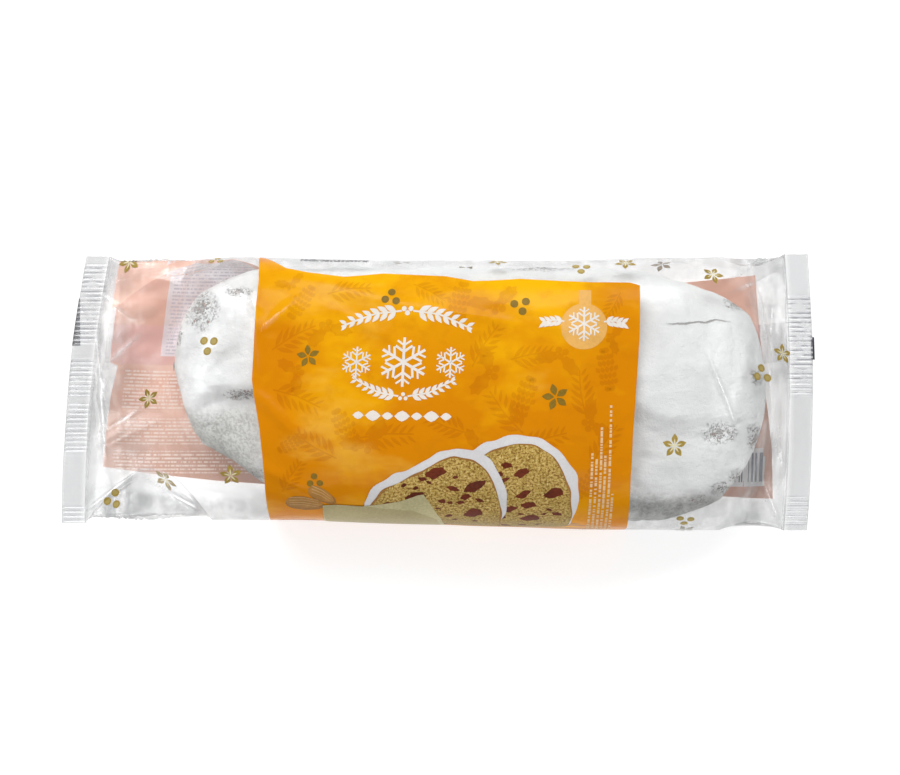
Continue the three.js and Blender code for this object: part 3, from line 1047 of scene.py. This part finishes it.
def makeTonalPrint():
    leaf = template(leafShape("slim_leaf", 6.0, 1.5, 0.4))
    scale = template(leafShape("cone_scale", 2.7, 1.9, 0.5, 4))
    stem = template(ribbon("twig_stem", [(-8, 0), (0, 0.7), (8, 0)], 0.45, 6))
    spot = template(roundSpot("holly_berry", 1.2))
    parts = [placedFlat(stem, 0, 0)]
    for i in range(6):
        for side in (-1, 1):
            parts.append(placedFlat(leaf, -6.5 + 2.5 * i, side * 0.4, 1 - 0.09 * i, side * 42))
    twig = template(joined("twig", parts))
    parts = []
    for row in range(7):
        across = 3.6 * math.sin(math.pi * (row + 1.2) / 8.6)
        for lane in range(-2, 3):
            shift = 0.5 * across * lane if row % 2 else 0.5 * across * (lane + 0.5)
            if abs(shift) <= across:
                parts.append(placedFlat(scale, 7 - 2.1 * row, shift, 0.78, 180 + shift * 9))
    cone = template(joined("cone", parts))
    spiky = []
    for i in range(14):
        swing, radius = math.tau * i / 14, 3.0 if i % 2 else 4.2
        spiky.append((math.cos(swing) * radius * 1.5, math.sin(swing) * radius * 0.8))
    hollyLeaf = template(patch("holly_leaf", spiky, cells=6))
    leaves = scattered(hollyLeaf, ((-4.5, 2, 0.8, 150), (4.5, 2, 0.8, 30)))
    holly = template(joined("holly", leaves + scattered(spot, ((0, 0), (1.4, -2), (-1.2, -2.1)))))
    tonal = bandFinish("tonal_orange_ink", (0.89, 0.83, 1.0))
    for name, shape in (("twigs", twig), ("cones", cone), ("hollies", holly)):
        spots = [placedFlat(shape, u, v, size * 1.3, turn) for u, v, size, turn in tonalPrint[name]]
        printedOn("tonal_" + name, spots, tonal, 0.10)


ornament = {
    # a frieze of sprigs and snow crystals, where the pack has its words
    "flakes": [(-14.5, 4.5, 10.5), (-34.5, 4.0, 6.6), (5.5, 4.5, 6.6)],
    "sprigs": [(-14, 25, 1, 1), (-14, -8.5, -1, 0.78)],
    "bloomFlake": (61.8, 21.0, 6.2),
}


def flakePieces(arm, branch, u, v, radius):
    pieces = []
    for i in range(6):
        swing = math.radians(60 * i + 30)
        pieces.append(placedFlat(arm, u, v, radius / 10, 60 * i + 30))
        for along, size in ((4.2, 0.42), (6.8, 0.34)):
            for side in (-1, 1):
                out = along * radius / 10
                at = (u + out * math.cos(swing), v + out * math.sin(swing))
                pieces.append(placedFlat(branch, *at, radius / 10 * size, 60 * i + 30 + side * 55))
    return pieces


def makeOrnaments():
    arm = template(ribbon("flake_arm", [(0, 0), (10, 0)], 1.15, 8))
    branch = template(ribbon("flake_branch", [(0, 0), (10, 0)], 2.4, 3))
    leaf = template(leafShape("ornament_leaf", 5.6, 2.3, 0.45))
    berry = template(roundSpot("ornament_berry", 1.1))
    lozenge = template(leafShape("lozenge", 4.2, 2.9, 0.5, 4))
    white = []
    for u, v, radius in ornament["flakes"]:
        white += flakePieces(arm, branch, u, v, radius)
    for u, v, side, size in ornament["sprigs"]:
        for hand in (-1, 1):
            rise = ((2.5, 1.5), (14, 0), (28, -6))
            arc = [(u + hand * along * size, v + side * up) for along, up in rise]
            white.append(ribbon("sprig_stem", arc, 0.75, 14))
            for i in range(7):
                along = (i + 0.6) / 7
                pu = u + hand * mix(3, 27, along) * size
                pv = v + side * (1.5 - 7 * along**1.7)
                lean = 0 if hand > 0 else 180
                lean -= hand * side * 14
                leafSize = (1.05 - 0.4 * along) * size
                white += scattered(leaf, [(pu, pv, leafSize, lean + turn) for turn in (38, -38)])
        for du, dv in ((0, 0.8), (-1.5, 3), (1.5, 3)):
            white.append(placedFlat(berry, u + du * size, v + side * dv * 0.8, size))
    for i in range(7):
        size = 1.6 if i % 2 else 1.15
        white.append(placedFlat(lozenge, -32.6 + 6.2 * i - 2.1 * size, -18.5, size, 0))
    paper = inkFinish("white_ink", inks["white"], 0.93)
    printedOn("white_ornament", white, paper, 0.16)

    u, v, radius = ornament["bloomFlake"]
    turns = np.linspace(0, math.tau, 48, endpoint=False)
    ring = patch("bauble_round", [(u + 10 * math.cos(turn), v + 10 * math.sin(turn)) for turn in turns])
    cap = flatSheet("bauble_cap", (u - 2.4, u + 3.0), (v + 9.4, v + 16.2), 4, 5)
    printedOn("bauble", [ring, cap], inkFinish("pale_orange_ink", inks["paleOrange"], 0.88), 0.12)
    badge = flakePieces(arm, branch, u, v + 1, radius + 1.2)
    for hand in (-1, 1):
        lean = 0 if hand > 0 else 180
        arc = [(u + hand * along, v + up) for along, up in ((8.5, 2), (13, 2.6), (18, 1))]
        badge.append(ribbon("badge_stem", arc, 0.7, 8))
        for i in range(4):
            pu, pv = u + hand * (9.5 + 2.2 * i), v + 2.2 - 0.25 * i
            badge += scattered(leaf, [(pu, pv, 0.72, lean + turn) for turn in (35, -35)])
    printedOn("bauble_ornament", badge, paper, 0.18)


slices = {
    # two cut slices of the loaf, of this part's own drawing
    "far": [
        (2, -79), (3, -66), (7, -55), (10, -45), (16, -38), (24, -33), (34, -29.5), (43, -30),
        (50, -34.5), (55.5, -42), (58.5, -52), (60, -64), (59, -78), (44, -79.5), (24, -80),
    ],
    "near": [
        (-27, -80), (-27.5, -68), (-25.5, -58), (-20.5, -50.5), (-13, -46.5), (-5, -43), (1, -38.5),
        (8, -35.5), (16, -36.5), (22.5, -41), (27, -50), (29.5, -62), (29.5, -79), (14, -81), (-8, -81),
    ],
    "fruits": 30,
    "tries": 900,
    "fruitGap": 3.1,
    "board": [
        (-50, -86), (-44, -76), (0, -72), (50, -71), (76, -73), (84, -80), (82, -88), (20, -92), (-40, -92),
    ],
    "paper": [
        (-47, -60), (-30, -60.5), (-14, -57), (-4, -52.5), (0, -60), (4, -70), (6, -84), (-20, -87),
        (-47, -84),
    ],
    "paperFold": [(-47, -61), (-30, -60.5), (-8, -63), (2, -70), (4, -84), (-20, -86), (-46, -84)],
    "almond": [
        (8.5, 0), (5.5, 2.6), (0, 4.0), (-5, 3.4), (-8, 1.2), (-8, -1.2), (-5, -3.4), (0, -4.0),
        (5.5, -2.6),
    ],
}


def fruitPieces(shapes, outline):
    edge = np.array(outline)
    low, high = edge.min(axis=0), edge.max(axis=0)
    middle, half = (low + high) / 2, (high - low) / 2
    pieces, spots, tries = [], [], 0
    while len(spots) < slices["fruits"] and tries < slices["tries"]:
        tries += 1
        u, v = random.uniform(low[0], high[0]), random.uniform(low[1], high[1])
        size, turn = random.choice((0.45, 0.6, 0.8, 1.1, 1.5)), random.uniform(-25, 40)
        squeeze = random.uniform(0.6, 1.0)
        away = math.hypot((u - middle[0]) / half[0], (v - middle[1] + 3) / half[1])
        gaps = [
            math.hypot(u - otherU, (v - otherV) * 1.5) - slices["fruitGap"] * (size + other)
            for otherU, otherV, other in spots
        ]
        if away < 0.84 and all(gap > 0 for gap in gaps):
            spots.append((u, v, size))
            pieces.append(placedFlat(random.choice(shapes), u, v, size, turn, squeeze))
    return pieces


def fruitShapes():
    shapes = []
    for i in range(4):
        outline = []
        for angle in np.linspace(0, math.tau, 18, endpoint=False):
            lump = 1 + 0.45 * noise.noise((1.6 * math.cos(angle) + 5 * i, 1.6 * math.sin(angle), i))
            outline.append((3.1 * lump * math.cos(angle), 1.9 * lump * math.sin(angle)))
        shapes.append(template(patch("fruit_bit", outline, cells=6, soft=8)))
    return shapes


def crumbFinish():
    crumb = Finish("printed_crumb", Roughness=0.4, Specular_IOR_Level=0.12)
    flat = crumb.flat()
    v = crumb.axes(flat)[1]
    pores = crumb.grain(flat, 95, 5, 0.75)
    patches = crumb.grain(flat, 16, 3)
    light = crumb.blend(patches.over(0.35, 0.65), (0.62, 0.42, 0.115), (0.50, 0.34, 0.08))
    porous = crumb.blend(pores.over(0.48, 0.58) * 0.95, light, (0.20, 0.085, 0.015))
    pale = crumb.blend(pores.over(0.34, 0.46), (0.84, 0.70, 0.32), porous)
    crumb.give("Base Color", crumb.blend((-0.60 - v).over(0.0, 0.2) * 0.55, pale, (0.27, 0.20, 0.06)))
    crumb.relief(pores, 0.0004, 0.2)
    return crumb


def makeSlicePicture():
    bits = fruitShapes()
    icing = inkFinish("printed_icing", inks["icing"], 0.9)
    crumb = crumbFinish()
    line = inkFinish("printed_crust_line", inks["crustLine"], 0.7)
    fruit = inkFinish("printed_fruit", inks["fruit"], 0.5)
    board = patch("board_patch", slices["board"], cells=18)
    printedOn("board", [board], inkFinish("printed_board", inks["board"], 0.8), 0.11)
    for order, name in enumerate(("far", "near")):
        outline = slices[name]
        rise = 0.13 + 0.15 * order
        for layer, ink, lift, shape in (
            ("icing", icing, 0, (4.4, 30, 1.3, True)),
            ("crust", line, 0.03, (0.5, 30, 0.8)),
            ("crumb", crumb, 0.06, (-0.25, 30, 0.8)),
        ):
            printedOn(name + "_slice_" + layer, [patch("slice_patch", outline, *shape)], ink, rise + lift)
        printedOn(name + "_slice_fruit", fruitPieces(bits, outline), fruit, rise + 0.09)

    paper = patch("paper_patch", slices["paper"], cells=18, soft=3)
    printedOn("printed_paper", [paper], inkFinish("paper_ink", inks["paper"], 0.75), 0.42)
    nut = template(patch("almond_outline", slices["almond"], cells=8, soft=10))
    seam = template(ribbon("almond_seam", [(-7, 0), (0, 1.0), (7, 0)], 0.4, 8, 0.5))
    nuts = scattered(nut, ((-47.5, -54.5, 0.8, -35), (-55, -59.5, 1, -6)))
    printedOn("almonds", nuts, inkFinish("almond_ink", inks["almond"], 0.72, 300), 0.15)
    shade = scattered(nut, ((-54.5, -60.8, 1.08, -6), (-46.9, -55.4, 0.87, -35)))
    printedOn("almond_shade", shade, line, 0.12)
    seams = scattered(seam, [(-55, -59.5 + step, 0.9, -6) for step in (-2.2, -0.7, 0.9, 2.4)])
    seams += scattered(seam, [(-47.5, -54.5 + step, 0.7, -35) for step in (-1.2, 0.4, 1.8)])
    printedOn("almond_seams", seams, inkFinish("almond_streak_ink", inks["almondStreak"], 0.8), 0.18)
    fold = patch("fold_patch", slices["paperFold"], cells=18, soft=3)
    printedOn("paper_fold", [fold], inkFinish("paper_fold_ink", inks["paperFold"], 0.8), 0.45)


smallPrint = {
    "darkRows": (56.2, 57.8, 59.4),
    "darkSpan": (-64.0, -34),
    "darkLengths": (0.8, 1.2, 2.0, 3.0),
    "darkGaps": (0.4, 0.5, 1.2),
    "columns": (  # u and upper end of each
        (66.6, -33), (68.5, -35.5), (70.4, -22), (72.2, -34), (74.2, -12.6), (75.9, -51),
    ),
    "columnEnd": -84,
    "lengths": (0.7, 1.1, 1.1, 1.6, 2.4),
    "gaps": (0.35, 0.4, 1.1),
}


def leaningU(u, v):
    # the columns at the band's right lean a little
    return u - (v + 12) * 0.02


def makeSmallBars():
    # thin bars in place of small print: dark ones behind the band, pale ones at its right
    dashes = []
    for v in smallPrint["darkRows"]:
        start, end = smallPrint["darkSpan"]
        while start < end:
            length = random.choice(smallPrint["darkLengths"])
            dashes.append(ribbon("dark_dash", [(start, v), (start + length, v - 0.1)], 1.1, 2))
            start += length + random.choice(smallPrint["darkGaps"])
    printedOn("dark_dashes", dashes, inkFinish("dark_dash_ink", inks["darkDash"], 0.7), 0.08)
    bars = []
    for u, v in smallPrint["columns"]:
        while v > smallPrint["columnEnd"]:
            low = max(v - random.choice(smallPrint["lengths"]), smallPrint["columnEnd"])
            bars.append(ribbon("small_bar", [(leaningU(u, v), v), (leaningU(u, low), low)], 1.05, 2))
            v = low - random.choice(smallPrint["gaps"])
    printedOn("pale_bars", bars, inkFinish("pale_bar_ink", inks["paleBar"], 0.9), 0.16)


backPrint = {
    "left": [  # w, u; bottom and top hold u, w
        (-33, -146.6), (0, -145), (13.8, -143.2), (13.9, -146.8), (40, -147), (60, -148.2), (76, -148.2),
    ],
    "right": [(-47, 150), (-25, 149), (-3, 146.5), (29, 144.1), (54, 143)],
    "bottom": [(-146, -32.5), (-119, -35.8), (-96, -38.3), (-75, -39.8), (80, -42), (150, -47)],
    "top": [
        (-146, 84), (-126, 87), (-118, 85), (-110, 82), (-100, 78), (-94, 71), (-88, 64), (-80, 58),
        (-70, 48), (60, 48), (104, 50), (143, 53.5),
    ],
    "ends": (-145.0, 147.0),
    "fin": (13.6, 31.2),
    "panel": ((-125.6, 92), (17.5, 82)),
    "blocks": [  # low and high u, low and high w of each block of rows
        (-140, 60, -7, 11), (-141.5, 60, -22, -10.5), (-142.5, 60, -35, -25), (75, 125, -8, 10),
    ],
    "rowPitch": 1.62,
    "wordScale": 1.5,
    "codeSpan": (119.5, 145),
    "codeWidths": (0.5, 0.8, 1.3),
    "codeGaps": (0.6, 0.9, 1.4),
}


def fieldSheet():
    # the back print's whole field, with its uneven edges
    sheet = flatSheet("back_print", (0, 1), (0, 1), 170, 70)
    flat = pointsOf(sheet)
    u = mix(*backPrint["ends"], flat[:, 0])
    w = mix(fromRows(backPrint["bottom"], u), fromRows(backPrint["top"], u), flat[:, 1])
    u = mix(fromRows(backPrint["left"], w), fromRows(backPrint["right"], w), flat[:, 0])
    movePoints(sheet, np.stack([u, w, w * 0], axis=1))
    return sheet


def rowsOn(finish, u, w):
    # broken rows, such as small print leaves from afar
    lane = w / backPrint["rowPitch"]
    part = lane.maths("FRACT", lane)
    middle = part.maths("ABSOLUTE", part - 0.5)
    number = lane.maths("FLOOR", lane)
    spot = finish.add("ShaderNodeCombineXYZ", {}, {0: u * backPrint["wordScale"], 1: number * 3.7, 2: 0.5})
    gaps = finish.grain(spot, 1.0, 2, 0.7).over(0.43, 0.49)
    return (1 - middle.over(0.17, 0.30)) * gaps


def backFinish(name, ground, overlap, row, blocks):
    # a field of the back print with its rows; overlap is its colour over the fin seal
    field = Finish(name, Roughness=0.45, Specular_IOR_Level=0.3, Emission_Strength=0.16)
    u, w = field.drawn()
    place = field.place()
    # painted shade: soft darker patches of the field where the film folds
    cloud = field.grain(place, 42, 3, stretch=(0.7, 1.3, 1.0))
    base = field.blend(cloud.over(0.38, 0.62), shaded(ground, (0.84, 0.74, 0.70)), ground)
    base = field.blend(between(w, *backPrint["fin"]) * 0.75, base, overlap)
    # the loaf keeps the light off its front
    base = field.blend((-8 - w).over(0, 22) * 0.8, base, shaded(ground, (0.72, 0.66, 0.64)))
    mask = largest([between(u, lowU, highU) * between(w, lowW, highW) for lowU, highU, lowW, highW in blocks])
    printed = field.blend(rowsOn(field, u, w) * mask * 0.8, base, row)
    field.give("Base Color", printed)
    # the print on the back wall glows, as painted light for the daylight that comes through the back wall
    field.give("Emission Color", field.blend(w.over(48, 62), (0, 0, 0), printed))
    field.relief(field.grain(place, 120, 2), 0.0008, 0.2)
    return field


def makeBackPrint():
    peach = backFinish("peach_print", inks["peach"], inks["overlap"], inks["backRow"], backPrint["blocks"])
    dressed(finishMesh(layOnFilm(fieldSheet(), -0.12, True)), peach, shadow=False)
    (left, right), (low, high) = backPrint["panel"]
    rows = [(left + 2, right - 2, low + 1, high - 1.5)]
    pale = backFinish("panel_print", inks["panel"], inks["panelOverlap"], inks["rowGrey"], rows)
    # the print is seen from inside the bag and from outside, with the peach field in between
    for name, depth in (("info_panel", -0.2), ("info_panel_outside", -0.08)):
        panel = flatSheet(name, (left, right), (0, 1), 120, 30)
        flat = pointsOf(panel)
        top = np.minimum(high, fromRows(backPrint["top"], flat[:, 0]) - 5)
        movePoints(panel, np.stack([flat[:, 0], mix(low, top, flat[:, 1]), flat[:, 2]], axis=1))
        printedOn(name, [panel], pale, depth, True, False)
    white = inkFinish("code_ground_ink", inks["codeGround"], 0.95)
    grey = inkFinish("code_stripe_ink", inks["codeStripe"], 0.8)
    spans = []
    u, end = backPrint["codeSpan"]
    while u < end:
        width = random.choice(backPrint["codeWidths"])
        spans.append((u, u + width))
        u += width + random.choice(backPrint["codeGaps"])
    for side, ground, ink in (("", -0.2, -0.28), ("_outside", -0.08, -0.04)):
        patchSheet = flatSheet("code_patch", (118, 146.5), (-41, -24), 14, 8)
        printedOn("code_ground" + side, [patchSheet], white, ground, True, False)
        stripes = [flatSheet("code_stripe", span, (-39, -26), 1, 8) for span in spans]
        printedOn("code_stripes" + side, stripes, grey, ink, True)


def makeFinSeal():
    # the lengthwise seam: two film edges welded and folded flat under the bag
    low, high = backPrint["fin"]
    sheet = flatSheet("fin_seal", (-149, 154), (low, high), 420, 10)
    fin = Finish("fin_seal_film", Roughness=0.3, Specular_IOR_Level=0.5)
    u = fin.drawn()[0]
    place = fin.place()
    inside = between(u, -146, 144)
    ink = fin.blend(fin.grain(place, 80, 3), inks["peach"], inks["overlap"])
    fin.give("Base Color", fin.blend(inside, (0.72, 0.73, 0.74), ink))
    fin.give("Alpha", 0.16 + inside * 0.84)
    phase = u * (math.tau / 1.6)
    ripple = phase.maths("SINE", phase)
    fin.relief(ripple * 0.5 + fin.grain(place, 200, 2), 0.0003, 0.6)
    dressed(thickened(finishMesh(layOnFilm(sheet, 0.3, True)), 0.14), fin)


def makeRegisterMarks():
    # small dark marks at the cut edges, which the packing machine reads
    dark = inkFinish("register_ink", inks["register"], 0.6)
    for name, end, low, high, inner, outer in (
        ("left", leftEnd, 21, 42, 3.4, -0.3), ("right", rightEnd, 14, 24, 0.6, -0.9),
    ):
        sheet = flatSheet("register_mark_" + name, (0, 1), (low, high), 4, 24)
        points = pointsOf(sheet)
        y = points[:, 1]
        narrow = mix(0.05, 1.0, (high - y) / (high - low)) if name == "left" else 1.0
        x = cutEdge(end, y) - end["side"] * mix(outer, inner * narrow, points[:, 0])
        z = sealHeight(end, y) - 0.55 + 0.5 * np.sin(y / 8.5)
        movePoints(sheet, np.stack([x + bag["shift"], y, z], axis=1) * mm)
        dressed(finishMesh(sheet), dark)


# the stage


room = {
    "airColour": (0.95, 0.97, 1.0, 1),
    "airStrength": 0.24,
    "floorGlow": 0.70,
    "lights": [
        # name, place, width, depth, power
        ("window_light", (-0.25, 0.9, 1.1), 1.6, 0.45, 15.4),
        ("fill_light", (0.3, -1.1, 0.9), 1.5, 0.5, 5),
        ("left_light", (-1.3, 0.1, 0.8), 0.8, 0.5, 4),
        ("right_light", (1.3, 0.1, 0.8), 0.8, 0.5, 4),
    ],
}


def makeStage():
    clearSelection()
    bpy.ops.mesh.primitive_plane_add(size=6, location=(0, 0, -0.0002))
    floor = active("floor")
    paper = Finish("pale_floor", Base_Color=(0.45, 0.45, 0.45), Roughness=0.9, Specular_IOR_Level=0.05)
    paper.give("Emission Color", (1.0, 1.0, 1.0))
    paper.give("Emission Strength", room["floorGlow"])
    floor.data.materials.append(paper.material)

    world = bpy.data.worlds.new("soft_room")
    bpy.context.scene.world = world
    world.use_nodes = True
    air = world.node_tree.nodes["Background"]
    air.inputs[0].default_value = room["airColour"]
    air.inputs[1].default_value = room["airStrength"]

    for name, place, width, depth, power in room["lights"]:
        lamp = bpy.data.lights.new(name, "AREA")
        lamp.shape = "RECTANGLE"
        lamp.size = width
        lamp.size_y = depth
        lamp.energy = power
        light = bpy.data.objects.new(name, lamp)
        bpy.context.scene.collection.objects.link(light)
        light.location = place
        light.rotation_euler = (-Vector(place)).to_track_quat("-Z", "Y").to_euler()


camera = {
    "sensorWidth": 36,
    "distance": 1.0,
    "elevation": 85.0,
    "frameWidth": 0.396,  # what the picture spans at the height of the loaf's sides
    "aim": (0.0057, 0.0018, 0.020),
}


def makeCamera():
    data = bpy.data.cameras.new("camera")
    data.sensor_width = camera["sensorWidth"]
    data.lens = camera["sensorWidth"] * camera["distance"] / camera["frameWidth"]
    data.clip_start = 0.05
    eye = bpy.data.objects.new("camera", data)
    bpy.context.scene.collection.objects.link(eye)
    tilt = math.radians(camera["elevation"])
    aim = Vector(camera["aim"])
    eye.location = aim + camera["distance"] * Vector((0, -math.cos(tilt), math.sin(tilt)))
    eye.rotation_euler = (math.radians(90) - tilt, 0, 0)
    bpy.context.scene.camera = eye


makeStage()
makeCamera()
bpy.context.scene.view_settings.view_transform = "Standard"

loaf = dressed(shapeLoaf(), sugarFinish())
print("loaf shaped", len(loaf.data.vertices), "points")
makeFilm(clearFilmFinish("clear_film", 0.10))
makeSeal("left_seal", leftEnd, sealFinish("left_seal_film", leftEnd))
makeSeal("right_seal", rightEnd, sealFinish("right_seal_film", rightEnd))
makeFinSeal()
makeRegisterMarks()
print("film and seals made")
makeBand(bandFinish("orange_print", (1, 1, 1)))
makeTonalPrint()
makeGoldPrint()
makeOrnaments()
makeSlicePicture()
makeSmallBars()
makeBackPrint()
for shape in templates:
    bpy.data.objects.remove(shape)
print("print laid on the film")
